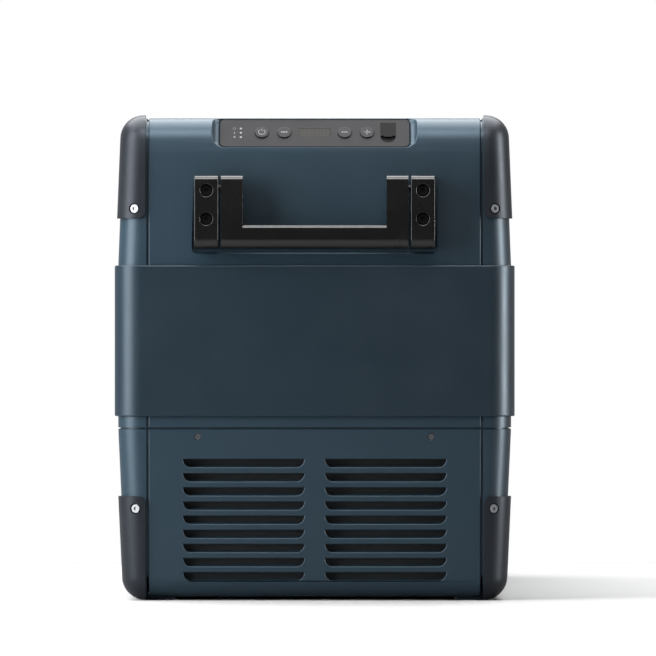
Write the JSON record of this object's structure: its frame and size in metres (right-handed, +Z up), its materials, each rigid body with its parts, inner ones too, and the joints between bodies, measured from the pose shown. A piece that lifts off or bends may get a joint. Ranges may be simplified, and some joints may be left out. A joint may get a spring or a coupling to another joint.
{
  "type": "compressor cooler fridge",
  "caption": "Portable compressor fridge: drafted moulded cabinet with a proud middle band, end control panel, side-hinged lid, swing handles, corner guards and a louvred cooling bay.",
  "frame": {"origin": "on the floor under the middle of the cabinet, at the height of the foot pads", "axes": "+Z up; the control end with the louvres faces -Y; the lid hinges on +X and its latch is on -X"},
  "size_m": [0.396, 0.684, 0.48],
  "materials": {
    "cabinet_plastic": "satin dark blue-grey moulded polypropylene",
    "guard_plastic": "satin charcoal moulded plastic",
    "steel_screws": "bright zinc-plated steel",
    "black_plastic": "satin black moulded plastic",
    "black_steel": "black-coated steel",
    "fascia_plastic": "mid grey satin plastic",
    "display_lens": "smoked glossy display lens",
    "lamp_lens": "milky lamp lens",
    "circuit_board": "green circuit board",
    "rubber_seals": "black rubber",
    "liner_plastic": "pale grey liner plastic",
    "foam": "pale yellow rigid foam",
    "filter_foam": "black open-cell filter foam",
    "aluminium_tube": "aluminium tube and fins",
    "wire_steel": "pale coated steel wire",
    "zinc_steel": "zinc-plated steel",
    "copper_tube": "copper tube"
  },
  "bodies": {
    "cabinet": {"lower_shell": "cabinet_plastic", "vent_panel": "cabinet_plastic", "dust_filter": "filter_foam", "vent_screws": "black_steel", "rear_lower_panel": "cabinet_plastic", "upper_shell": "cabinet_plastic", "front_panel": "cabinet_plastic", "rear_panel": "cabinet_plastic", "middle_band": "cabinet_plastic", "guards_upper_front": "guard_plastic", "guards_upper_rear": "guard_plastic", "guards_lower_front": "guard_plastic", "guards_lower_rear": "guard_plastic", "guard_screws": "steel_screws", "front_brackets": "black_plastic", "rear_brackets": "black_plastic", "bracket_screws": "black_steel", "handle_pivots": "steel_screws", "control_fascia": "fascia_plastic", "display_window": "display_lens", "indicator_lights": "lamp_lens", "control_board": "circuit_board", "usb_socket": "black_plastic", "inner_liner": "liner_plastic", "insulation_foam": "foam", "evaporator_coil": "aluminium_tube", "interior_light": "lamp_lens", "wire_basket": "wire_steel", "drain_spout": "liner_plastic", "chassis_plate": "zinc_steel", "compressor": "black_steel", "compressor_grommets": "rubber_seals", "condenser": "aluminium_tube", "fan_frame": "black_plastic", "power_module": "black_plastic", "refrigerant_lines": "copper_tube", "dc_inlet": "black_plastic", "ac_inlet": "black_plastic", "hinge_bases": "black_plastic", "hinge_pins": "steel_screws", "latch_keeper": "zinc_steel"},
    "front_handle": {"front_handle_arms": "black_plastic", "front_grip": "black_plastic"},
    "rear_handle": {"rear_handle_arms": "black_plastic", "rear_grip": "black_plastic"},
    "lid": {"lid_outer": "cabinet_plastic", "lid_liner": "liner_plastic", "lid_foam": "foam", "lid_gasket": "rubber_seals", "lid_corner_caps": "guard_plastic", "lid_cap_screws": "steel_screws", "hinge_leaves": "black_plastic"},
    "latch": {"lid_latch": "black_plastic"},
    "power_key": {"power_button": "fascia_plastic"},
    "set_key": {"set_button": "fascia_plastic"},
    "minus_key": {"minus_button": "fascia_plastic"},
    "plus_key": {"plus_button": "fascia_plastic"},
    "usb_flap": {"usb_cover": "rubber_seals"},
    "fan": {"fan_rotor": "black_plastic"},
    "drain_stopper": {"drain_plug": "black_plastic"}
  },
  "joints": [
    {"name": "lid_hinge", "type": "hinge", "parent": "cabinet", "child": "lid", "pos_m": [0.193, 0.04, 0.431], "axis": [0, 1, 0], "range_deg": [0, 95]},
    {"name": "latch_pivot", "type": "hinge", "parent": "lid", "child": "latch", "pos_m": [-0.1886, 0.04, 0.459], "axis": [0, 1, 0], "range_deg": [0, 35], "stiffness_Nm_per_rad": 0.05, "springref_deg": -22.92},
    {"name": "front_handle_swing", "type": "hinge", "parent": "cabinet", "child": "front_handle", "pos_m": [0, -0.33, 0.407], "axis": [-1, 0, 0], "range_deg": [0, 90]},
    {"name": "rear_handle_swing", "type": "hinge", "parent": "cabinet", "child": "rear_handle", "pos_m": [0, 0.33, 0.407], "axis": [1, 0, 0], "range_deg": [0, 90]},
    {"name": "power_press", "type": "slide", "parent": "cabinet", "child": "power_key", "axis": [0, 0.788, -0.6157], "range_m": [0, 0.0008], "stiffness_N_per_m": 600, "springref_m": -0.0003},
    {"name": "set_press", "type": "slide", "parent": "cabinet", "child": "set_key", "axis": [0, 0.788, -0.6157], "range_m": [0, 0.0008], "stiffness_N_per_m": 600, "springref_m": -0.0003},
    {"name": "minus_press", "type": "slide", "parent": "cabinet", "child": "minus_key", "axis": [0, 0.788, -0.6157], "range_m": [0, 0.0008], "stiffness_N_per_m": 600, "springref_m": -0.0003},
    {"name": "plus_press", "type": "slide", "parent": "cabinet", "child": "plus_key", "axis": [0, 0.788, -0.6157], "range_m": [0, 0.0008], "stiffness_N_per_m": 600, "springref_m": -0.0003},
    {"name": "usb_flap_hinge", "type": "hinge", "parent": "cabinet", "child": "usb_flap", "pos_m": [0.0726, -0.29352, 0.47123], "axis": [-1, 0, 0], "range_deg": [0, 110]},
    {"name": "fan_spin", "type": "hinge", "parent": "cabinet", "child": "fan", "pos_m": [0.088, -0.263, 0.084], "axis": [0, -1, 0], "continuous": true},
    {"name": "drain_stopper_pull", "type": "slide", "parent": "cabinet", "child": "drain_stopper", "axis": [0, 1, 0], "range_m": [0, 0.045]}
  ]
}
